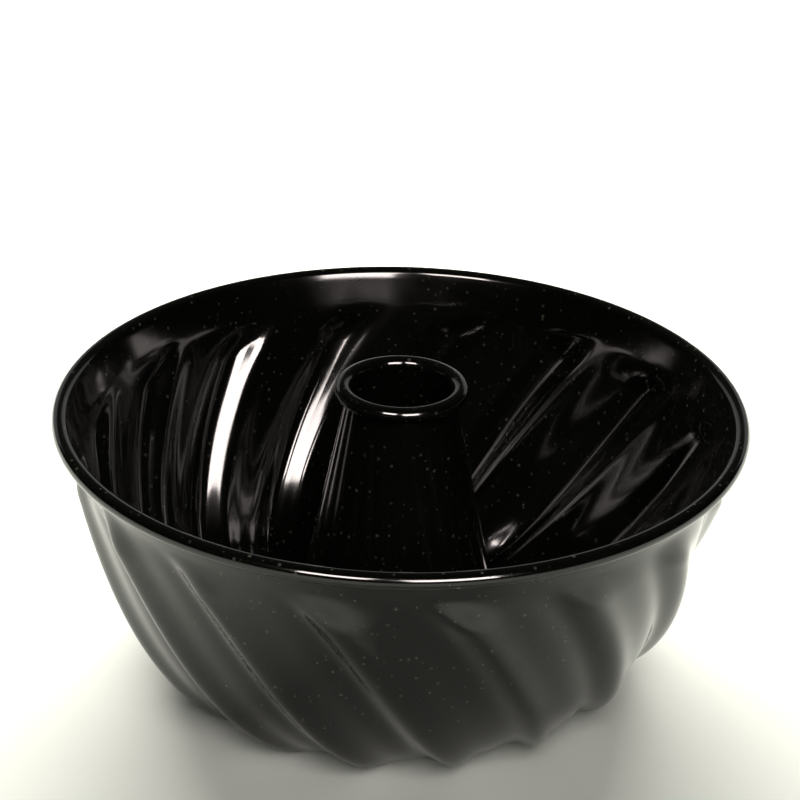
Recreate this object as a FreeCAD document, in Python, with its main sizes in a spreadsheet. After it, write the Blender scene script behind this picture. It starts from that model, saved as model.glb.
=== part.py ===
"""Bundt pan: a swirled steel bowl, its open centre tube and the wire in its rolled rim.

Millimetres. +Z is up, and the origin is the centre of the face that the pan stands on.
A section is drawn in the XZ plane and turned round the Z axis. The front of the pan is -Y.
"""

import math
import os

import FreeCAD
import Part
import Sketcher
from FreeCAD import Vector

os.makedirs("parts", exist_ok=True)
doc = FreeCAD.newDocument("bundt_pan")

# ---------------------------------------------------------------- driving dimensions

SIZES = [
    ("rim_dia", 240.0, "over the rolled rim"),
    ("rim_top", 102.6, "top of the rolled rim above the table"),
    ("rim_bead", 5.6, "thickness of the rolled rim"),
    ("sheet", 0.9, "steel with its enamel"),
    ("rim_roll_end", 135.0, "degrees from straight out to where the rim's roll stops"),
    ("wire_gap", 0.05, "between the wire and the roll around it"),
    ("wire_joint", 1.6, "gap between the wire's two ends"),
    ("neck_inset", 5.4, "from the middle of the rim in to the neck, where the flutes run out"),
    ("neck_drop", 9.6, "from the middle of the rim down to the neck"),
    ("neck_lead", 29.0, "how far the neck's line steers the wall"),
    ("ring_width", 17.0, "flat ring underneath, outward from the tube's foot"),
    ("ring_lead", 6.0, "how far the ring's line steers the wall"),
    ("belly_dia", 197.0, "where the wall turns up"),
    ("flute_depth", 4.2, "crest above valley, square to the wall"),
    ("flute_soft", 0.68, "0 is a sharp valley, 1 is a plain wave"),
    ("crest_lean", 0.85, "0 is an even flute, towards 1 its left flank is the steep one"),
    ("crest_spread", 0.08, "above 0 the crests are broad, below 0 narrow"),
    ("flute_start", 0.5, "degrees from the front to the first valley at the neck"),
    ("flute_twist", 55.7, "degrees that each flute would turn at the rate it has at the neck"),
    ("flute_curl", -13.6, "degrees added to the twist, most of it near the ring"),
    ("ring_fade", 0.39, "share of the wall where the flutes rise from the ring"),
    ("neck_fade", 0.1, "share of the wall where the flutes die into the neck"),
    ("foot_lift", 0.05, "lowest point of the flutes above the table"),
    ("tube_foot_dia", 76.0, "outside of the tube at its foot"),
    ("tube_seat", 8.0, "height of the straight part at the tube's foot"),
    ("tube_sweep", 30.0, "outer radius of the curve from the seat into the cone"),
    ("flange_width", 8.0, "flange outward from the tube's foot"),
    ("flange_bend", 1.2, "inside of the bend between tube and flange"),
    ("seam_gap", 0.05, "between the tube and the bowl's collar"),
    ("collar_rise", 4.0, "collar above the underside of the ring"),
    ("collar_bend", 0.6, "inside of the bend between ring and collar"),
    ("lip_dia", 46.2, "over the tube's rolled lip"),
    ("lip_bead", 5.6, "thickness of the tube's rolled lip"),
    ("lip_rise", 8.4, "top of the lip above the top of the rim"),
    ("lip_roll_end", 110.0, "degrees from straight out to where the lip's roll stops"),
]
FLUTES = 16
POINTS_PER_FLUTE = 14
WALL_ROWS = 23

sizes = doc.addObject("Spreadsheet::Sheet", "sizes")
for line, (name, value, note) in enumerate(SIZES, start=1):
    sizes.set("A%d" % line, name)
    sizes.set("B%d" % line, str(value))
    sizes.set("C%d" % line, note)
    sizes.setAlias("B%d" % line, name)
doc.recompute()


def size(name):
    """One driving dimension, read back from the sheet."""
    return float(sizes.get(name))


# ---------------------------------------------------------------- the line of the wall

rim_radius = size("rim_dia") / 2 - size("rim_bead") / 2
rim_height = size("rim_top") - size("rim_bead") / 2
inner_roll = size("rim_bead") / 2 - size("sheet")
neck = (rim_radius - size("neck_inset"), rim_height - size("neck_drop"))
ring_out = size("tube_foot_dia") / 2 + size("ring_width")


def lean_to_roll(foot, roll_centre, roll_radius):
    """Angle from upright of the line from foot that just touches the roll's inner side."""
    out = roll_centre[0] - foot[0]
    up = roll_centre[1] - foot[1]
    return math.atan2(out, up) - math.asin(roll_radius / math.hypot(out, up))


neck_lean = lean_to_roll(neck, (rim_radius, rim_height), inner_roll)


def wall_line(belly_height):
    """Bezier points of the valleys' outline, from the ring up to the neck."""
    lead = size("neck_lead")
    return [
        (ring_out, size("sheet")),
        (ring_out + size("ring_lead"), size("sheet")),
        (size("belly_dia") / 2, belly_height),
        (neck[0] - lead * math.sin(neck_lean), neck[1] - lead * math.cos(neck_lean)),
        neck,
    ]


def on_bezier(points, t):
    """Point and slope of a Bezier curve at t, by De Casteljau's halving."""
    level = list(points)
    while len(level) > 2:
        level = [
            (a[0] + (b[0] - a[0]) * t, a[1] + (b[1] - a[1]) * t)
            for a, b in zip(level, level[1:])
        ]
    (r0, z0), (r1, z1) = level
    return (r0 + (r1 - r0) * t, z0 + (z1 - z0) * t), (r1 - r0, z1 - z0)


def ease(x):
    """0 at 0, 1 at 1 and beyond, level at both."""
    x = min(max(x, 0.0), 1.0)
    return x * x * (3 - 2 * x)


def flute_wave(angle):
    """0 in a valley and 1 on a crest; the crest leans off the middle of its flute."""
    soft = size("flute_soft")
    phase = FLUTES * angle
    phase += size("crest_lean") * (1 - math.cos(phase)) + size("crest_spread") * math.sin(phase)
    swing = math.sqrt(math.sin(phase / 2) ** 2 + soft ** 2)
    return (swing - soft) / (math.sqrt(1 + soft ** 2) - soft)


def flute_turn(t):
    """How far round the valleys stand at t, in radians."""
    below = 1 - t
    turn = size("flute_start") + size("flute_twist") * below + size("flute_curl") * below ** 2
    return math.radians(turn)


def crest_height(t):
    """How far the crests stand out of the valleys at t."""
    return size("flute_depth") * ease(t / size("ring_fade")) * ease((1 - t) / size("neck_fade"))


def wall_point(belly_height, t, angle):
    """Outer face of the wall at t (0 ring, 1 neck) and at an angle from the front."""
    (radius, height), (run, climb) = on_bezier(wall_line(belly_height), t)
    length = math.hypot(run, climb)
    bulge = crest_height(t) * flute_wave(angle - flute_turn(t))
    radius += bulge * climb / length
    height -= bulge * run / length
    return Vector(radius * math.sin(angle), -radius * math.cos(angle), height)


def crest_low(belly_height):
    """Lowest height that the crests of the flutes reach."""
    lowest = rim_height
    for step in range(101):
        t = step / 100
        (_, height), (run, climb) = on_bezier(wall_line(belly_height), t)
        lowest = min(lowest, height - crest_height(t) * run / math.hypot(run, climb))
    return lowest


def settle_belly():
    """Height of the belly point that sets the crests down just clear of the table."""
    low, high = -40.0, 60.0
    for _ in range(30):
        middle = (low + high) / 2
        if crest_low(middle) < size("foot_lift"):
            low = middle
        else:
            high = middle
    return high


belly_height = settle_belly()


def wall_face_point(t, angle, depth_in):
    """Point at depth_in below the outer face, square to it."""
    here = wall_point(belly_height, t, angle)
    if depth_in == 0:
        return here
    step = 1e-4
    above = wall_point(belly_height, t + step, angle)
    below = wall_point(belly_height, t - step, angle)
    ahead = wall_point(belly_height, t, angle + step)
    behind = wall_point(belly_height, t, angle - step)
    inward = (above - below).cross(ahead - behind).normalize()
    return here + inward * depth_in


def closed_skin(rows):
    """One smooth face through rings of points, closed round the axis."""
    count = len(rows[0])
    around = [k / count for k in range(count + 1)]
    up = [k / (len(rows) - 1) for k in range(len(rows))]
    rings = []
    for row in rows:
        ring = Part.BSplineCurve()
        ring.interpolate(Points=row, PeriodicFlag=True, Parameters=around)
        rings.append(ring)
    columns = []
    for poles in zip(*[ring.getPoles() for ring in rings]):
        column = Part.BSplineCurve()
        column.interpolate(Points=list(poles), Parameters=up)
        columns.append(column)
    surface = Part.BSplineSurface()
    surface.buildFromPolesMultsKnots(
        [column.getPoles() for column in columns],
        rings[0].getMultiplicities(),
        columns[0].getMultiplicities(),
        rings[0].getKnots(),
        columns[0].getKnots(),
        True,
        False,
        3,
        3,
    )
    return surface


def wall_rows(depth_in):
    """Rings of points on the wall, closer together where the flutes rise and die."""
    rows = []
    for row in range(WALL_ROWS):
        share = row / (WALL_ROWS - 1)
        t = share - 0.5 * math.sin(2 * math.pi * share) / (2 * math.pi)
        count = FLUTES * POINTS_PER_FLUTE
        rows.append(
            [wall_face_point(t, 2 * math.pi * k / count, depth_in) for k in range(count)]
        )
    return rows


def end_band(outer, inner, v):
    """The narrow face that closes the sheet at one end of the wall."""
    return Part.makeRuledSurface(outer.vIso(v).toShape(), inner.vIso(v).toShape())


def wall_solid():
    """The fluted wall as a solid sheet between its two end rings."""
    outer = closed_skin(wall_rows(0))
    inner = closed_skin(wall_rows(size("sheet")))
    faces = [outer.toShape(), inner.toShape(), end_band(outer, inner, 0), end_band(outer, inner, 1)]
    skin = Part.Compound(faces)
    skin.sewShape(1e-4)
    solid = Part.Solid(skin.Shells[0])
    if solid.Volume < 0:
        solid.reverse()
    return solid


# ---------------------------------------------------------------- sketched sections

def origin_plane(body, role):
    """One of a body's own base planes."""
    return [f for f in body.Origin.OriginFeatures if f.Role == role][0]


def section(body, name):
    """An empty sketch on a body's XZ plane."""
    sketch = body.newObject("Sketcher::SketchObject", name)
    sketch.AttachmentSupport = [(origin_plane(body, "XZ_Plane"), "")]
    sketch.MapMode = "FlatFace"
    return sketch


def turned(body, sketch, name):
    """Turn a section a full circle round the body's Z axis."""
    solid = body.newObject("PartDesign::Revolution", name)
    solid.Profile = sketch
    solid.ReferenceAxis = (sketch, ["V_Axis"])
    solid.Angle = 360
    body.Tip = solid
    return solid


class Outline:
    """Lines and arcs of one closed section, each joined to the one before."""

    def __init__(self, sketch):
        self.sketch = sketch
        self.pieces = []

    def line(self, start, end):
        edge = Part.LineSegment(Vector(*start, 0), Vector(*end, 0))
        self.pieces.append((self.sketch.addGeometry(edge, False), 1, 2))
        return self.pieces[-1][0]

    def arc(self, centre, radius, start_deg, end_deg):
        """An arc from start to end; it runs clockwise when end is the smaller."""
        low, high = sorted((math.radians(start_deg), math.radians(end_deg)))
        circle = Part.Circle(Vector(*centre, 0), Vector(0, 0, 1), radius)
        geo = self.sketch.addGeometry(Part.ArcOfCircle(circle, low, high), False)
        first, last = (1, 2) if end_deg > start_deg else (2, 1)
        self.pieces.append((geo, first, last))
        return geo

    def close(self, smooth=()):
        """Join the pieces end to start; pairs in smooth are tangent there."""
        for here, (geo, _, last) in enumerate(self.pieces):
            after = (here + 1) % len(self.pieces)
            other, first, _ = self.pieces[after]
            kind = "Tangent" if (here, after) in smooth else "Coincident"
            self.sketch.addConstraint(Sketcher.Constraint(kind, geo, last, other, first))

    def hold(self, kind, *where, value, rule):
        """Add a measured constraint and tie it to the sheet."""
        index = self.sketch.addConstraint(Sketcher.Constraint(kind, *where, value))
        self.sketch.setExpression("Constraints[%d]" % index, rule)


def polar(centre, radius, angle_deg):
    """Point on a circle, as a pair."""
    angle = math.radians(angle_deg)
    return (centre[0] + radius * math.cos(angle), centre[1] + radius * math.sin(angle))


def bind_circle(outline, big, small, across, up, radius):
    """Centre two concentric arcs by rule and give the rolled sheet its two radii."""
    sketch = outline.sketch
    sketch.addConstraint(Sketcher.Constraint("Coincident", big, 3, small, 3))
    centre = sketch.getPoint(big, 3)
    outline.hold("DistanceX", -1, 1, big, 3, value=centre.x, rule=across)
    outline.hold("DistanceY", -1, 1, big, 3, value=centre.y, rule=up)
    big_radius = sketch.Geometry[big].Radius
    outline.hold("Radius", big, value=big_radius, rule=radius)
    small_radius = sketch.Geometry[small].Radius
    outline.hold("Radius", small, value=small_radius, rule=radius + " - sizes.sheet")


def bind_point(outline, geo, end, across=None, up=None):
    """Hold one end of an edge by rule."""
    place = outline.sketch.getPoint(geo, end)
    if across:
        outline.hold("DistanceX", -1, 1, geo, end, value=place.x, rule=across)
    if up:
        outline.hold("DistanceY", -1, 1, geo, end, value=place.y, rule=up)


# ---------------------------------------------------------------- fluted bowl

wall = doc.addObject("Part::Feature", "fluted_wall")
wall.Shape = wall_solid()

# the neck and the rim, rolled outward from it
rim_roll = doc.addObject("PartDesign::Body", "rim_roll")
rim_section = section(rim_roll, "rim_section")
rim_centre = (rim_radius, rim_height)
bead = size("rim_bead") / 2
sheet = size("sheet")
start_deg = 180 - math.degrees(neck_lean)
end_deg = -size("rim_roll_end")
neck_inner = (
    neck[0] - sheet * math.cos(neck_lean),
    neck[1] + sheet * math.sin(neck_lean),
)
rim = Outline(rim_section)
face = rim.line(neck_inner, polar(rim_centre, bead, start_deg))
over = rim.arc(rim_centre, bead, start_deg, end_deg)
lip_end = rim.line(polar(rim_centre, bead, end_deg), polar(rim_centre, bead - sheet, end_deg))
under = rim.arc(rim_centre, bead - sheet, end_deg, start_deg)
back = rim.line(polar(rim_centre, bead - sheet, start_deg), neck)
joint = rim.line(neck, neck_inner)
rim.close(smooth=[(0, 1), (3, 4)])
RIM_ACROSS = "sizes.rim_dia / 2 - sizes.rim_bead / 2"
RIM_UP = "sizes.rim_top - sizes.rim_bead / 2"
bind_circle(rim, over, under, RIM_ACROSS, RIM_UP, "sizes.rim_bead / 2")
bind_point(rim, joint, 1, RIM_ACROSS + " - sizes.neck_inset", RIM_UP + " - sizes.neck_drop")
rim_section.addConstraint(Sketcher.Constraint("Perpendicular", joint, back))
rim_section.addConstraint(Sketcher.Constraint("PointOnObject", over, 3, lip_end))
bind_point(rim, lip_end, 1, RIM_ACROSS + " + sizes.rim_bead / 2 * cos(sizes.rim_roll_end * 1 deg)")
turned(rim_roll, rim_section, "rim_turn")

# the flat ring underneath and the collar turned up around the tube
base_ring = doc.addObject("PartDesign::Body", "base_ring")
ring_section = section(base_ring, "ring_section")
hole = size("tube_foot_dia") / 2 + size("seam_gap")
bend = size("collar_bend")
bend_centre = (hole + sheet + bend, 2 * sheet + bend)
collar_top = sheet + size("collar_rise")
ring = Outline(ring_section)
bottom = ring.line((ring_out, sheet), (bend_centre[0], sheet))
outer_bend = ring.arc(bend_centre, bend + sheet, 270, 180)
hug = ring.line((hole, bend_centre[1]), (hole, collar_top))
rim_edge = ring.line((hole, collar_top), (hole + sheet, collar_top))
away = ring.line((hole + sheet, collar_top), (hole + sheet, bend_centre[1]))
inner_bend = ring.arc(bend_centre, bend, 180, 270)
top = ring.line((bend_centre[0], 2 * sheet), (ring_out, 2 * sheet))
end = ring.line((ring_out, 2 * sheet), (ring_out, sheet))
ring.close(smooth=[(0, 1), (1, 2), (4, 5), (5, 6)])
ring_section.addConstraint(Sketcher.Constraint("Coincident", outer_bend, 3, inner_bend, 3))
for level_edge in (bottom, rim_edge):
    ring_section.addConstraint(Sketcher.Constraint("Horizontal", level_edge))
for upright in (hug, end):
    ring_section.addConstraint(Sketcher.Constraint("Vertical", upright))
bind_point(ring, bottom, 1, "sizes.tube_foot_dia / 2 + sizes.ring_width", "sizes.sheet")
bind_point(ring, hug, 2, "sizes.tube_foot_dia / 2 + sizes.seam_gap",
           "sizes.sheet + sizes.collar_rise")
ring.hold("Radius", inner_bend, value=bend, rule="sizes.collar_bend")
ring.hold("Radius", outer_bend, value=bend + sheet, rule="sizes.collar_bend + sizes.sheet")
turned(base_ring, ring_section, "ring_turn")

bowl = doc.addObject("Part::MultiFuse", "fluted_bowl")
bowl.Shapes = [wall, rim_roll, base_ring]
bowl.Refine = False

# ---------------------------------------------------------------- chimney tube

tube = doc.addObject("PartDesign::Body", "chimney_tube")
tube_section = section(tube, "tube_section")
foot = size("tube_foot_dia") / 2
seat = size("tube_seat")
sweep = size("tube_sweep")
lip = size("lip_bead") / 2
lip_centre = (size("lip_dia") / 2 - lip, size("rim_top") + size("lip_rise") - lip)
sweep_centre = (foot - sweep, seat)
reach = math.dist(sweep_centre, lip_centre)
tilt = math.atan2(lip_centre[1] - sweep_centre[1], lip_centre[0] - sweep_centre[0])
tilt_deg = math.degrees(tilt - math.acos((sweep + lip - sheet) / reach))
fold = size("flange_bend")
fold_centre = (foot + fold, sheet + fold)
flange = foot + size("flange_width")
roll_from = 180 + tilt_deg
roll_to = -size("lip_roll_end")
pipe = Outline(tube_section)
sole = pipe.line((flange, 0), (fold_centre[0], 0))
outer_fold = pipe.arc(fold_centre, fold + sheet, 270, 180)
bore_seat = pipe.line((foot - sheet, fold_centre[1]), (foot - sheet, seat))
bore_sweep = pipe.arc(sweep_centre, sweep - sheet, 0, tilt_deg)
bore_cone = pipe.line(polar(sweep_centre, sweep - sheet, tilt_deg), polar(lip_centre, lip, roll_from))
lip_over = pipe.arc(lip_centre, lip, roll_from, roll_to)
lip_edge = pipe.line(polar(lip_centre, lip, roll_to), polar(lip_centre, lip - sheet, roll_to))
lip_under = pipe.arc(lip_centre, lip - sheet, roll_to, roll_from)
cone = pipe.line(polar(lip_centre, lip - sheet, roll_from), polar(sweep_centre, sweep, tilt_deg))
out_sweep = pipe.arc(sweep_centre, sweep, tilt_deg, 0)
out_seat = pipe.line((foot, seat), (foot, fold_centre[1]))
inner_fold = pipe.arc(fold_centre, fold, 180, 270)
flange_top = pipe.line((fold_centre[0], sheet), (flange, sheet))
flange_edge = pipe.line((flange, sheet), (flange, 0))
pipe.close(smooth=[(0, 1), (1, 2), (2, 3), (3, 4), (4, 5), (7, 8), (8, 9), (9, 10), (10, 11),
                   (11, 12)])
LIP_ACROSS = "sizes.lip_dia / 2 - sizes.lip_bead / 2"
LIP_UP = "sizes.rim_top + sizes.lip_rise - sizes.lip_bead / 2"
bind_circle(pipe, lip_over, lip_under, LIP_ACROSS, LIP_UP, "sizes.lip_bead / 2")
tube_section.addConstraint(Sketcher.Constraint("PointOnObject", lip_over, 3, lip_edge))
bind_point(pipe, lip_edge, 1, LIP_ACROSS + " + sizes.lip_bead / 2 * cos(sizes.lip_roll_end * 1 deg)")
bind_circle(pipe, out_sweep, bore_sweep, "sizes.tube_foot_dia / 2 - sizes.tube_sweep",
            "sizes.tube_seat", "sizes.tube_sweep")
tube_section.addConstraint(Sketcher.Constraint("Horizontal", flange_top))
tube_section.addConstraint(Sketcher.Constraint("Horizontal", sole))
tube_section.addConstraint(Sketcher.Constraint("Vertical", flange_edge))
bind_circle(pipe, outer_fold, inner_fold, "sizes.tube_foot_dia / 2 + sizes.flange_bend",
            "sizes.sheet + sizes.flange_bend", "sizes.flange_bend + sizes.sheet")
bind_point(pipe, sole, 1, "sizes.tube_foot_dia / 2 + sizes.flange_width")
turned(tube, tube_section, "tube_turn")

# ---------------------------------------------------------------- rim wire

wire = doc.addObject("Part::Torus", "rim_wire")
wire.setExpression("Radius1", RIM_ACROSS)
wire.setExpression("Radius2", "sizes.rim_bead / 2 - sizes.sheet - sizes.wire_gap")
wire.setExpression("Angle3", "360 - sizes.wire_joint / (%s) * 180 / pi" % RIM_ACROSS)
wire.Placement.Rotation = FreeCAD.Rotation(Vector(0, 0, 1), 90)
wire.setExpression("Placement.Base.z", RIM_UP)

# ---------------------------------------------------------------- check and write

doc.recompute()
for item in doc.Objects:
    if {"Invalid", "Error"} & set(item.State):
        raise RuntimeError("%s did not build: %s" % (item.Name, item.State))
for node in (bowl, tube, wire):
    shape = node.Shape
    if shape.isNull() or not shape.isValid() or len(shape.Solids) != 1:
        raise RuntimeError("%s is not one valid solid" % node.Name)
    node.Label = node.Name
    shape.exportStep("parts/%s.step" % node.Name)
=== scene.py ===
"""Fluted cake pan in speckled black enamel, dressed for the camera on a pale studio floor.

Each piece is one operator. The swirled bowl and its chimney tube are spun from a section by a
Geometry Nodes tree; the section's points follow the same rules as the pressed sheet itself.
Metres, +Z up, and the front of the pan is -Y.
"""

import math

import bpy
from bpy.props import FloatProperty, IntProperty, PointerProperty, StringProperty
from mathutils import Matrix, Vector


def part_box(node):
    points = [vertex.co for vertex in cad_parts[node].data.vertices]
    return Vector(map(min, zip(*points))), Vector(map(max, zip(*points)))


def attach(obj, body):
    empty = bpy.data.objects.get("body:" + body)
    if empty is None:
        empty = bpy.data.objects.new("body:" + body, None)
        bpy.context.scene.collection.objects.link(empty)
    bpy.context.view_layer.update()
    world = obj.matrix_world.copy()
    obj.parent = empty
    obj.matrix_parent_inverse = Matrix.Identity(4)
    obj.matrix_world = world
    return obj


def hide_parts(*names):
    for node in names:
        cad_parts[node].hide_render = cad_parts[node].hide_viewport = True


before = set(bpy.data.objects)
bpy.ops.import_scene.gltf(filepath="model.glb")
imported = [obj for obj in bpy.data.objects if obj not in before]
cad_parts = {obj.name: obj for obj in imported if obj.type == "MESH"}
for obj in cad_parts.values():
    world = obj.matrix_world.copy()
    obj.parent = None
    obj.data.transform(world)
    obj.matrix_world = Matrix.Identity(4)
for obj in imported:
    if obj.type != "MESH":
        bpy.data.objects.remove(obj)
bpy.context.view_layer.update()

bl_info = {
    "name": "Fluted cake pan",
    "version": (1, 0, 0),
    "blender": (4, 5, 0),
    "location": "3D view > Sidebar > Cake pan",
    "description": "Builds a swirled, enamelled cake pan with an open chimney tube",
    "category": "Add Mesh",
}

MM = 0.001
BOWL_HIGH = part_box("fluted_bowl")[1]
TUBE_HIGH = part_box("chimney_tube")[1]

# the studio's soft boxes: name, then place, width and height in metres, watts, tint, and
# whether gloss mirrors the box; a box that gloss doesn't mirror lights matt colour only
SOFT_BOXES = (
    ("left_window", (-0.65, -1.75, 1.48), 0.79, 0.75, 52.0, "#FFF4F0", True),
    ("right_window", (0.60, -1.92, 1.26), 1.03, 0.90, 82.0, "#FFF4F0", True),
    ("backdrop", (0.0, 2.4, 0.5), 5.0, 1.2, 7.0, "#FFFFFF", True),
    ("overhead", (-0.1, 1.1, 0.95), 1.6, 1.0, 56.0, "#FFFFF2", False),
    ("front_fill", (0.3, -2.0, 1.7), 1.5, 1.5, 32.0, "#FFFFF2", False),
)


# ------------------------------------------------------------------ sizes and colours


def length(name, description, millimetres):
    """A length that a user sees in the scene's units."""
    return FloatProperty(name=name, description=description, default=millimetres * MM,
                         unit="LENGTH", precision=5)


class SheetSizes(bpy.types.PropertyGroup):
    """The enamelled sheet that both pieces are pressed from."""

    thickness: length("Thickness", "Steel with its enamel on both faces", 0.9)
    fired_edge: length("Fired edge", "Roundness that the glass gives a cut edge", 0.2)
    around: IntProperty(name="Steps around", description="Faces round the pan's axis",
                        default=384, min=64)


class BowlSizes(bpy.types.PropertyGroup):
    """The swirled bowl."""

    rim_bead: length("Rim bead", "Thickness of the rolled rim", 5.6)
    rim_roll_end: FloatProperty(name="Rim roll end", subtype="ANGLE",
                                description="From straight out to where the roll stops",
                                default=math.radians(135))
    neck_inset: length("Neck inset", "From the middle of the rim in to the neck", 5.4)
    neck_drop: length("Neck drop", "From the middle of the rim down to the neck", 9.6)
    neck_lead: length("Neck lead", "How far the neck's line steers the wall", 29.0)
    ring_width: length("Ring width", "Flat ring underneath, outward from the tube's foot", 17.0)
    ring_lead: length("Ring lead", "How far the ring's line steers the wall", 6.0)
    belly_radius: length("Belly radius", "Where the wall turns up", 98.5)
    belly_height: length("Belly height", "Sets the crests down on the table", -1.437)
    flutes: IntProperty(name="Flutes", description="Number of swirled flutes", default=16)
    flute_depth: length("Flute depth", "Crest above valley", 4.2)
    flute_soft: FloatProperty(name="Flute softness", default=0.68,
                              description="0 is a sharp valley, 1 is a plain wave")
    crest_lean: FloatProperty(name="Crest lean", default=0.85,
                              description="0 is an even flute, towards 1 its left side is steep")
    crest_spread: FloatProperty(name="Crest spread", default=0.08,
                                description="Above 0 crests are broad, below 0 narrow")
    flute_twist: FloatProperty(name="Flute twist", subtype="ANGLE",
                               description="Turn of each flute, as it sets out from the neck",
                               default=math.radians(55.7))
    flute_curl: FloatProperty(name="Flute curl", subtype="ANGLE",
                              description="What is added to the turn towards the ring",
                              default=math.radians(-13.6))
    flute_start: FloatProperty(name="Flute start", subtype="ANGLE",
                               description="From the front to the first valley at the neck",
                               default=math.radians(0.5))
    ring_fade: FloatProperty(name="Ring fade", default=0.39,
                             description="Share of the wall where the flutes rise")
    neck_fade: FloatProperty(name="Neck fade", default=0.1,
                             description="Share of the wall where the flutes die away")
    collar_rise: length("Collar rise", "Collar above the underside of the ring", 4.0)
    collar_bend: length("Collar bend", "Inside of the bend between ring and collar", 0.6)
    seam_gap: length("Seam gap", "Between the tube and the collar", 0.05)


class TubeSizes(bpy.types.PropertyGroup):
    """The open chimney tube."""

    foot_radius: length("Foot radius", "Outside of the tube at its foot", 38.0)
    seat: length("Seat", "Height of the straight part at the foot", 8.0)
    sweep: length("Sweep", "Outer radius of the curve from the seat into the cone", 30.0)
    flange_bend: length("Flange bend", "Inside of the bend between tube and flange", 1.2)
    lip_radius: length("Lip radius", "Outside of the rolled lip", 23.1)
    lip_bead: length("Lip bead", "Thickness of the rolled lip", 5.6)
    lip_roll_end: FloatProperty(name="Lip roll end", subtype="ANGLE",
                                description="From straight out to where the roll stops",
                                default=math.radians(110))


class Finish(bpy.types.PropertyGroup):
    """Colours as sRGB hex."""

    ground: StringProperty(name="Enamel", description="Black cover enamel", default="#0A0A09")
    fleck: StringProperty(name="Flecks", description="Grey frit flecks", default="#45453F")
    wire: StringProperty(name="Wire", description="Bright drawn wire", default="#B9B7B2")
    floor: StringProperty(name="Floor", description="White studio board", default="#F6F6F6")
    roughness: FloatProperty(name="Enamel roughness", default=0.1,
                             description="Fired glass gloss")
    fleck_spacing: length("Fleck spacing", "Typical distance between flecks", 2.4)


class StudioSizes(bpy.types.PropertyGroup):
    """Camera and floor."""

    floor_reach: length("Floor reach", "From the pan to the edge of the floor", 6000.0)
    elevation: FloatProperty(name="Camera elevation", subtype="ANGLE",
                             description="Above the table", default=math.radians(26.57))
    roll: FloatProperty(name="Camera roll", subtype="ANGLE",
                        description="Lean of the camera", default=math.radians(1.48))
    distance: length("Camera distance", "From the middle of the rim", 960.0)
    lens: FloatProperty(name="Lens", description="Millimetres on a 36 mm sensor", default=125.06)
    aim_up: length("Aim up", "Point looked at, above the middle of the rim", 4.1)
    aim_across: length("Aim across", "Point looked at, to the right of the axis", -0.5)


# ------------------------------------------------------------------ small tools


def linear(hex_colour):
    """sRGB hex to the linear colour that Blender's sockets take."""
    parts = [int(hex_colour.lstrip("#")[i:i + 2], 16) / 255 for i in (0, 2, 4)]
    return [c / 12.92 if c <= 0.04045 else ((c + 0.055) / 1.055) ** 2.4 for c in parts] + [1.0]


def add_node(tree, kind, inputs=None, **settings):
    """Add a node; inputs maps a socket's name or number to a value or to another socket."""
    node = tree.nodes.new(kind)
    for key, value in settings.items():
        setattr(node, key, value)
    for key, value in (inputs or {}).items():
        socket = node.inputs[key]
        if isinstance(value, bpy.types.NodeSocket):
            tree.links.new(value, socket)
        else:
            socket.default_value = value
    return node


def new_mesh_object(name, verts, edges, faces):
    """An object at the origin with its place in its mesh."""
    mesh = bpy.data.meshes.new(name)
    mesh.from_pydata(verts, edges, faces)
    mesh.update()
    thing = bpy.data.objects.new(name, mesh)
    bpy.context.scene.collection.objects.link(thing)
    return thing


# ------------------------------------------------------------------ materials


def enamel(name, finish):
    """Vitreous enamel: glass frit sprayed on steel and fired, so it is a black mirror with a
    faint orange peel, and grey flecks of a second frit lie under the gloss."""
    mat = bpy.data.materials.new(name)
    mat.use_nodes = True
    tree = mat.node_tree
    tree.nodes.clear()
    where = add_node(tree, "ShaderNodeTexCoord").outputs["Object"]
    # flecks: one possible fleck per cell, most cells left empty
    cells = add_node(tree, "ShaderNodeTexVoronoi",
                     {"Vector": where, "Scale": 1 / finish.fleck_spacing, "Randomness": 1.0},
                     feature="F1")
    chance = add_node(tree, "ShaderNodeSeparateColor", {"Color": cells.outputs["Color"]})
    reach = add_node(tree, "ShaderNodeMapRange",
                     {"Value": chance.outputs[0], "From Min": 0.25, "From Max": 1.0,
                      "To Min": 0.08, "To Max": 0.34})
    near = add_node(tree, "ShaderNodeMath",
                    {0: reach.outputs[0], 1: cells.outputs["Distance"]}, operation="SUBTRACT")
    speck = add_node(tree, "ShaderNodeMapRange",
                     {"Value": near.outputs[0], "From Min": 0.0, "From Max": 0.16,
                      "To Min": 0.0, "To Max": 1.0})
    strength = add_node(tree, "ShaderNodeMath",
                        {0: speck.outputs[0], 1: chance.outputs[1]}, operation="MULTIPLY")
    colour = add_node(tree, "ShaderNodeMix",
                      {0: strength.outputs[0], 6: linear(finish.ground), 7: linear(finish.fleck)},
                      data_type="RGBA")
    # gloss drifts a little where the glass ran thicker
    drift = add_node(tree, "ShaderNodeTexNoise",
                     {"Vector": where, "Scale": 1 / (22 * MM), "Detail": 2.0})
    gloss = add_node(tree, "ShaderNodeMapRange",
                     {"Value": drift.outputs[0], "From Min": 0.3, "From Max": 0.7,
                      "To Min": finish.roughness * 0.75, "To Max": finish.roughness * 1.35})
    # orange peel of fired glass, about 5 mm from crest to crest
    peel = add_node(tree, "ShaderNodeTexNoise",
                    {"Vector": where, "Scale": 1 / (5 * MM), "Detail": 2.0, "Roughness": 0.45})
    bump = add_node(tree, "ShaderNodeBump",
                    {"Strength": 0.35, "Distance": 0.02 * MM, "Height": peel.outputs[0]})
    shader = add_node(tree, "ShaderNodeBsdfPrincipled",
                      {"Base Color": colour.outputs[2], "Roughness": gloss.outputs[0],
                       "IOR": 1.52, "Normal": bump.outputs[0]})
    add_node(tree, "ShaderNodeOutputMaterial", {"Surface": shader.outputs[0]})
    return mat


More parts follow.
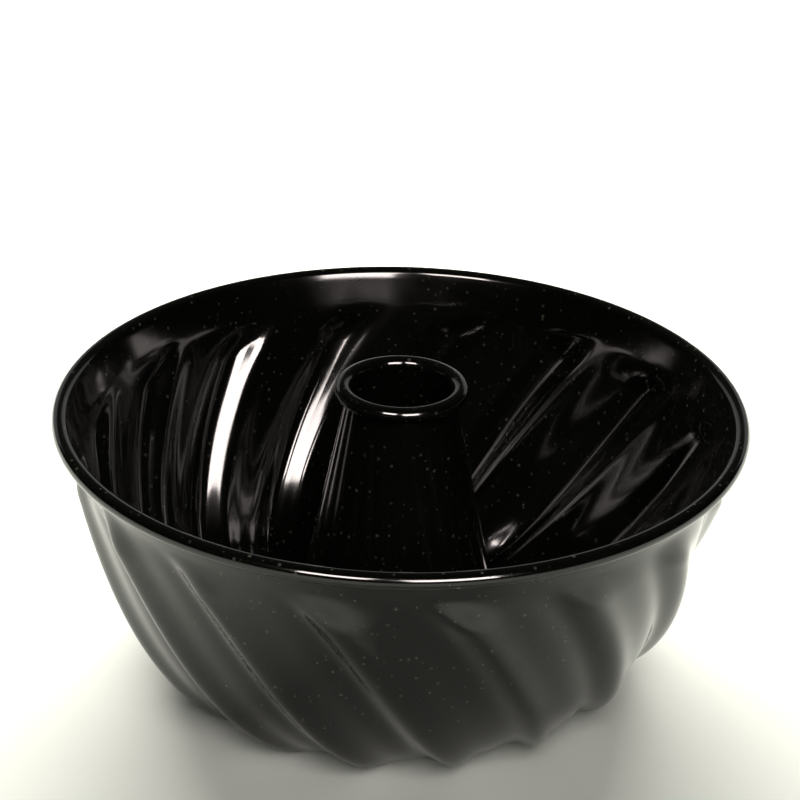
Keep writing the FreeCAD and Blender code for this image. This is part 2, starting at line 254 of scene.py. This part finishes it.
def drawn_wire(name, finish):
    """Bright steel wire drawn through a die; fine scores break up its gloss."""
    mat = bpy.data.materials.new(name)
    mat.use_nodes = True
    tree = mat.node_tree
    tree.nodes.clear()
    where = add_node(tree, "ShaderNodeTexCoord").outputs["Object"]
    score = add_node(tree, "ShaderNodeTexNoise",
                     {"Vector": where, "Scale": 1 / (0.6 * MM), "Detail": 3.0})
    gloss = add_node(tree, "ShaderNodeMapRange",
                     {"Value": score.outputs[0], "To Min": 0.25, "To Max": 0.5})
    bump = add_node(tree, "ShaderNodeBump",
                    {"Strength": 0.3, "Distance": 0.01 * MM, "Height": score.outputs[0]})
    shader = add_node(tree, "ShaderNodeBsdfPrincipled",
                      {"Base Color": linear(finish.wire), "Metallic": 1.0,
                       "Roughness": gloss.outputs[0], "Normal": bump.outputs[0]})
    add_node(tree, "ShaderNodeOutputMaterial", {"Surface": shader.outputs[0]})
    return mat


def matt_floor(name, finish):
    """White painted board, with a faint mottle in its gloss."""
    mat = bpy.data.materials.new(name)
    mat.use_nodes = True
    tree = mat.node_tree
    tree.nodes.clear()
    where = add_node(tree, "ShaderNodeTexCoord").outputs["Object"]
    mottle = add_node(tree, "ShaderNodeTexNoise",
                      {"Vector": where, "Scale": 1 / (60 * MM), "Detail": 3.0})
    gloss = add_node(tree, "ShaderNodeMapRange",
                     {"Value": mottle.outputs[0], "To Min": 0.75, "To Max": 0.9})
    shader = add_node(tree, "ShaderNodeBsdfPrincipled",
                      {"Base Color": linear(finish.floor), "Roughness": gloss.outputs[0],
                       "Specular IOR Level": 0.1})
    add_node(tree, "ShaderNodeOutputMaterial", {"Surface": shader.outputs[0]})
    return mat


# ------------------------------------------------------------------ sections of the sheet


class Section:
    """Points along one face of the sheet: radius, height, way out, share of the flute depth
    and turn round the axis."""

    def __init__(self, turn=0.0):
        self.points = []
        self.turn = turn

    def add(self, radius, height, out=(0.0, 0.0), rise=0.0):
        self.points.append((radius, height, out, rise, self.turn))

    def run(self, start, end, steps):
        """A straight stretch, without its last point."""
        for k in range(steps):
            part = k / steps
            self.add(start[0] + (end[0] - start[0]) * part, start[1] + (end[1] - start[1]) * part)

    def bow(self, centre, radius, start, end, steps, last=False):
        """An arc between two angles in radians, without its last point unless asked."""
        for k in range(steps + (1 if last else 0)):
            angle = start + (end - start) * k / steps
            self.add(centre[0] + radius * math.cos(angle), centre[1] + radius * math.sin(angle))


def ease(x):
    """0 at 0, 1 at 1 and beyond, level at both."""
    x = min(max(x, 0.0), 1.0)
    return x * x * (3 - 2 * x)


def on_bezier(points, t):
    """Point and slope of a Bezier curve at t."""
    level = list(points)
    while len(level) > 2:
        level = [a.lerp(b, t) for a, b in zip(level, level[1:])]
    return level[0].lerp(level[1], t), (level[1] - level[0]).normalized()


def bowl_section(bowl, tube, sheet):
    """Outer face of the bowl: collar, ring, fluted wall, neck and the inside of the roll."""
    line = Section(bowl.flute_start + bowl.flute_twist + bowl.flute_curl)
    bead = bowl.rim_bead / 2
    roll = Vector((BOWL_HIGH[0] - bead, BOWL_HIGH[2] - bead))
    neck = Vector((roll.x - bowl.neck_inset, roll.y - bowl.neck_drop))
    away = roll - neck
    lean = math.atan2(away.x, away.y) - math.asin((bead - sheet) / away.length)
    steer = Vector((math.sin(lean), math.cos(lean)))
    low = sheet
    hole = tube.foot_radius + bowl.seam_gap
    ring = tube.foot_radius + bowl.ring_width
    bend = bowl.collar_bend + sheet
    line.run((hole, low + bowl.collar_rise), (hole, low + bend), steps=4)
    line.bow((hole + bend, low + bend), bend, math.pi, 1.5 * math.pi, steps=8)
    line.run((hole + bend, low), (ring, low), steps=6)
    guide = [
        Vector((ring, low)),
        Vector((ring + bowl.ring_lead, low)),
        Vector((bowl.belly_radius, bowl.belly_height)),
        neck - steer * bowl.neck_lead,
        neck,
    ]
    wall_steps = 60
    for k in range(wall_steps):
        share = k / wall_steps
        # closer together where the flutes rise and die
        t = share - 0.5 * math.sin(2 * math.pi * share) / (2 * math.pi)
        place, slope = on_bezier(guide, t)
        below = 1 - t
        line.turn = bowl.flute_start + bowl.flute_twist * below + bowl.flute_curl * below ** 2
        line.add(place.x, place.y, (slope.y, -slope.x),
                 ease(t / bowl.ring_fade) * ease(below / bowl.neck_fade))
    line.turn = bowl.flute_start
    start = roll + Vector((-math.cos(lean), math.sin(lean))) * (bead - sheet)
    line.run(neck, start, steps=5)
    line.bow(roll, bead - sheet, math.pi - lean, -bowl.rim_roll_end, steps=24, last=True)
    return line


def tube_section(tube, sheet):
    """Under and bore face of the tube: flange, fold, seat, cone and the outside of the roll."""
    line = Section()
    flange = TUBE_HIGH[0]
    lip = tube.lip_bead / 2
    roll = Vector((tube.lip_radius - lip, TUBE_HIGH[2] - lip))
    centre = Vector((tube.foot_radius - tube.sweep, tube.seat))
    away = roll - centre
    tilt = math.atan2(away.y, away.x) - math.acos((tube.sweep + lip - sheet) / away.length)
    fold = tube.flange_bend + sheet
    turn = Vector((tube.foot_radius - sheet + fold, fold))
    line.run((flange, 0), (turn.x, 0), steps=4)
    line.bow(turn, fold, 1.5 * math.pi, math.pi, steps=10)
    bore = tube.foot_radius - sheet
    line.run((bore, fold), (bore, tube.seat), steps=5)
    line.bow(centre, tube.sweep - sheet, 0, tilt, steps=8)
    side = Vector((math.cos(tilt), math.sin(tilt)))
    line.run(centre + side * (tube.sweep - sheet), roll - side * lip, steps=40)
    line.bow(roll, lip, math.pi + tilt, -tube.lip_roll_end, steps=28, last=True)
    return line


# ------------------------------------------------------------------ spinning a section


def spin_tree():
    """Geometry Nodes: spins a section round Z and swells it into swirled flutes."""
    tree = bpy.data.node_groups.new("Spun and swirled sheet", "GeometryNodeTree")
    ports = tree.interface
    ports.new_socket("Section", in_out="INPUT", socket_type="NodeSocketGeometry")
    for name, kind in (("Steps Around", "Int"), ("Flutes", "Int"), ("Flute Depth", "Float"),
                       ("Softness", "Float"), ("Crest Lean", "Float"),
                       ("Crest Spread", "Float"), ("Material", "Material")):
        ports.new_socket(name, in_out="INPUT", socket_type="NodeSocket" + kind)
    ports.new_socket("Sheet", in_out="OUTPUT", socket_type="NodeSocketGeometry")
    given = add_node(tree, "NodeGroupInput").outputs
    value = {"around": given["Steps Around"], "flutes": given["Flutes"],
             "depth": given["Flute Depth"], "soft": given["Softness"],
             "lean": given["Crest Lean"], "spread": given["Crest Spread"]}

    def work_out(steps):
        """Each step names its result, then its operation and what goes in."""
        for result, operation, *terms in steps:
            sockets = {k: value.get(term, term) for k, term in enumerate(terms)}
            node = add_node(tree, "ShaderNodeMath", sockets, operation=operation)
            value[result] = node.outputs[0]

    # a flat grid with a column of points for each step round the axis
    size = add_node(tree, "GeometryNodeAttributeDomainSize", {0: given["Section"]})
    value["rows"] = size.outputs["Point Count"]
    work_out([("columns", "ADD", "around", 1.0)])
    grid = add_node(tree, "GeometryNodeMeshGrid",
                    {"Vertices X": value["columns"], "Vertices Y": value["rows"]})
    value["index"] = add_node(tree, "GeometryNodeInputIndex").outputs[0]
    work_out([
        ("along", "FLOORED_MODULO", "index", "rows"),
        ("column", "DIVIDE", "index", "rows"),
        ("column", "FLOOR", "column"),
        ("angle", "DIVIDE", "column", "around"),
        ("angle", "MULTIPLY", "angle", 2 * math.pi),
    ])

    # what the section says at this row
    for name, kind in (("place", "FLOAT_VECTOR"), ("out", "FLOAT_VECTOR"),
                       ("rise", "FLOAT"), ("turn", "FLOAT")):
        field = add_node(tree, "GeometryNodeInputNamedAttribute", {"Name": name},
                         data_type=kind).outputs[0]
        value[name] = add_node(tree, "GeometryNodeSampleIndex",
                               {"Geometry": given["Section"], "Value": field,
                                "Index": value["along"]},
                               data_type=kind, domain="POINT").outputs[0]

    # one flute per turn of the phase; the crest leans, and the rows swirl it round the wall
    work_out([
        ("phase", "MULTIPLY", "angle", "flutes"),
        ("cosine", "COSINE", "phase"),
        ("leaned", "SUBTRACT", 1.0, "cosine"),
        ("leaned", "MULTIPLY", "leaned", "lean"),
        ("spread_out", "SINE", "phase"),
        ("spread_out", "MULTIPLY", "spread_out", "spread"),
        ("phase", "ADD", "phase", "leaned"),
        ("phase", "ADD", "phase", "spread_out"),
        ("half", "MULTIPLY", "phase", 0.5),
        ("sine", "SINE", "half"),
        ("sine", "MULTIPLY", "sine", "sine"),
        ("soft_squared", "MULTIPLY", "soft", "soft"),
        ("wave", "ADD", "sine", "soft_squared"),
        ("wave", "SQRT", "wave"),
        ("wave", "SUBTRACT", "wave", "soft"),
        ("full", "ADD", "soft_squared", 1.0),
        ("full", "SQRT", "full"),
        ("full", "SUBTRACT", "full", "soft"),
        ("wave", "DIVIDE", "wave", "full"),
        ("bulge", "MULTIPLY", "wave", "depth"),
        ("bulge", "MULTIPLY", "bulge", "rise"),
        ("swirl", "ADD", "angle", "turn"),
    ])
    push = add_node(tree, "ShaderNodeVectorMath", {0: value["out"], "Scale": value["bulge"]},
                    operation="SCALE").outputs[0]
    swollen = add_node(tree, "ShaderNodeVectorMath", {0: value["place"], 1: push},
                       operation="ADD").outputs[0]
    turned = add_node(tree, "ShaderNodeVectorRotate",
                      {"Vector": swollen, "Axis": (0.0, 0.0, 1.0), "Angle": value["swirl"]},
                      rotation_type="AXIS_ANGLE").outputs[0]
    placed = add_node(tree, "GeometryNodeSetPosition",
                      {"Geometry": grid.outputs["Mesh"], "Position": turned}).outputs[0]
    # the last column lies on the first
    closed = add_node(tree, "GeometryNodeMergeByDistance",
                      {"Geometry": placed, "Distance": 0.001 * MM}).outputs[0]
    smooth = add_node(tree, "GeometryNodeSetShadeSmooth", {"Geometry": closed}).outputs[0]
    real = add_node(tree, "GeometryNodeRealizeInstances", {"Geometry": smooth}).outputs[0]
    painted = add_node(tree, "GeometryNodeSetMaterial",
                       {"Geometry": real, "Material": given["Material"]}).outputs[0]
    add_node(tree, "NodeGroupOutput", {"Sheet": painted})
    return tree


def spin(name, section, sheet, flutes, material, inward):
    """Spin a section with the tree, then give the sheet its thickness."""
    verts = [(0.0, -radius, height) for radius, height, *_ in section.points]
    edges = [(k, k + 1) for k in range(len(verts) - 1)]
    line = new_mesh_object(name + "_section", verts, edges, [])
    for label, kind, field, numbers in (
        ("place", "FLOAT_VECTOR", "vector", [part for vert in verts for part in vert]),
        ("out", "FLOAT_VECTOR", "vector",
         [part for *_, out, _, _ in section.points for part in (0.0, -out[0], out[1])]),
        ("rise", "FLOAT", "value", [share for *_, share, _ in section.points]),
        ("turn", "FLOAT", "value", [turn for *_, turn in section.points]),
    ):
        line.data.attributes.new(label, kind, "POINT").data.foreach_set(field, numbers)
    tree = bpy.data.node_groups.get("Spun and swirled sheet") or spin_tree()
    nodes = line.modifiers.new("Spin", "NODES")
    nodes.node_group = tree
    values = {"Steps Around": sheet.around, "Material": material, **flutes}
    for item in tree.interface.items_tree:
        if item.name in values:
            nodes[item.identifier] = values[item.name]
    graph = bpy.context.evaluated_depsgraph_get()
    mesh = bpy.data.meshes.new_from_object(line.evaluated_get(graph))
    bpy.data.objects.remove(line)
    mesh.name = name
    thing = bpy.data.objects.new(name, mesh)
    bpy.context.scene.collection.objects.link(thing)
    skin = thing.modifiers.new("Sheet", "SOLIDIFY")
    skin.thickness = sheet.thickness
    skin.offset = -1.0 if inward else 1.0
    skin.use_even_offset = True
    skin.use_quality_normals = True
    edge = thing.modifiers.new("Fired edges", "BEVEL")
    edge.width = sheet.fired_edge
    edge.segments = 2
    edge.limit_method = "ANGLE"
    edge.angle_limit = math.radians(60)
    return thing


# ------------------------------------------------------------------ operators


class CAKEPAN_OT_fluted_bowl(bpy.types.Operator):
    """Spin the swirled bowl with its rolled rim, ring and collar"""

    bl_idname = "cakepan.fluted_bowl"
    bl_label = "Fluted bowl"

    def execute(self, context):
        pan = context.scene.cake_pan
        section = bowl_section(pan.bowl, pan.tube, pan.sheet.thickness)
        paint = enamel("Speckled black vitreous enamel on the bowl", pan.finish)
        flutes = {"Flutes": pan.bowl.flutes, "Flute Depth": pan.bowl.flute_depth,
                  "Softness": pan.bowl.flute_soft, "Crest Lean": pan.bowl.crest_lean,
                  "Crest Spread": pan.bowl.crest_spread}
        bowl = spin("bowl_sheet", section, pan.sheet, flutes, paint, inward=True)
        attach(bowl, "root")
        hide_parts("fluted_bowl")
        return {"FINISHED"}


class CAKEPAN_OT_chimney_tube(bpy.types.Operator):
    """Spin the conical chimney with its flange and rolled lip"""

    bl_idname = "cakepan.chimney_tube"
    bl_label = "Chimney tube"

    def execute(self, context):
        pan = context.scene.cake_pan
        section = tube_section(pan.tube, pan.sheet.thickness)
        paint = enamel("Speckled black vitreous enamel on the tube", pan.finish)
        plain = {"Flutes": 1, "Flute Depth": 0.0, "Softness": 1.0, "Crest Lean": 0.0,
                 "Crest Spread": 0.0}
        tube = spin("tube_sheet", section, pan.sheet, plain, paint, inward=False)
        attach(tube, "root")
        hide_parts("chimney_tube")
        return {"FINISHED"}


class CAKEPAN_OT_rim_wire(bpy.types.Operator):
    """Finish the wire inside the rolled rim"""

    bl_idname = "cakepan.rim_wire"
    bl_label = "Rim wire"

    def execute(self, context):
        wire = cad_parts["rim_wire"]
        steel = drawn_wire("Drawn steel wire", context.scene.cake_pan.finish)
        wire.data.materials.clear()
        wire.data.materials.append(steel)
        return {"FINISHED"}


class CAKEPAN_OT_studio(bpy.types.Operator):
    """Lay the floor, hang the lights and set the camera"""

    bl_idname = "cakepan.studio"
    bl_label = "Studio"

    def execute(self, context):
        pan = context.scene.cake_pan
        studio = pan.studio
        reach = studio.floor_reach
        floor = new_mesh_object("studio_floor",
                                [(-reach, -reach, 0), (reach, -reach, 0), (reach, reach, 0),
                                 (-reach, reach, 0)], [], [(0, 1, 2, 3)])
        floor.data.materials.append(matt_floor("Painted studio board", pan.finish))

        middle = Vector((0, 0, BOWL_HIGH[2] - pan.bowl.rim_bead / 2))
        back = Vector((0, -math.cos(studio.elevation), math.sin(studio.elevation)))
        eye = middle + back * studio.distance
        aim = middle + Vector((studio.aim_across, 0, studio.aim_up))
        data = bpy.data.cameras.new("Camera")
        data.sensor_width = 36.0
        data.lens = studio.lens
        camera = bpy.data.objects.new("Camera", data)
        bpy.context.scene.collection.objects.link(camera)
        turn = (aim - eye).to_track_quat("-Z", "Y").to_matrix().to_4x4()
        camera.matrix_world = (Matrix.Translation(eye) @ turn
                               @ Matrix.Rotation(studio.roll, 4, "Z"))
        context.scene.camera = camera

        for name, place, across, up, watts, tint, seen_in_gloss in SOFT_BOXES:
            lamp = bpy.data.lights.new(name, "AREA")
            lamp.shape = "RECTANGLE"
            lamp.size = across
            lamp.size_y = up
            lamp.energy = watts
            lamp.color = linear(tint)[:3]
            box = bpy.data.objects.new(name, lamp)
            bpy.context.scene.collection.objects.link(box)
            box.location = place
            box.rotation_euler = (middle - Vector(place)).to_track_quat("-Z", "Y").to_euler()
            box.visible_camera = False
            box.visible_glossy = seen_in_gloss
            box.visible_diffuse = not seen_in_gloss

        world = bpy.data.worlds.new("Studio")
        world.use_nodes = True
        world.node_tree.nodes["Background"].inputs["Strength"].default_value = 0.0
        context.scene.world = world
        context.scene.view_settings.view_transform = "Standard"
        return {"FINISHED"}


class CakePan(bpy.types.PropertyGroup):
    """Everything a user can change."""

    sheet: PointerProperty(type=SheetSizes)
    bowl: PointerProperty(type=BowlSizes)
    tube: PointerProperty(type=TubeSizes)
    finish: PointerProperty(type=Finish)
    studio: PointerProperty(type=StudioSizes)


class CAKEPAN_PT_sidebar(bpy.types.Panel):
    """Lists the pan's pieces in the order they are made"""

    bl_idname = "CAKEPAN_PT_sidebar"
    bl_label = "Cake pan"
    bl_space_type = "VIEW_3D"
    bl_region_type = "UI"
    bl_category = "Cake pan"

    def draw(self, context):
        for piece in PIECES:
            self.layout.operator(piece.bl_idname)


PIECES = (CAKEPAN_OT_fluted_bowl, CAKEPAN_OT_chimney_tube, CAKEPAN_OT_rim_wire,
          CAKEPAN_OT_studio)
CLASSES = (SheetSizes, BowlSizes, TubeSizes, Finish, StudioSizes, CakePan, *PIECES,
           CAKEPAN_PT_sidebar)


def register():
    for item in CLASSES:
        bpy.utils.register_class(item)
    bpy.types.Scene.cake_pan = PointerProperty(type=CakePan)


def unregister():
    del bpy.types.Scene.cake_pan
    for item in reversed(CLASSES):
        bpy.utils.unregister_class(item)


def main():
    register()
    bpy.ops.cakepan.fluted_bowl()
    bpy.ops.cakepan.chimney_tube()
    bpy.ops.cakepan.rim_wire()
    bpy.ops.cakepan.studio()


if __name__ == "__main__":
    main()
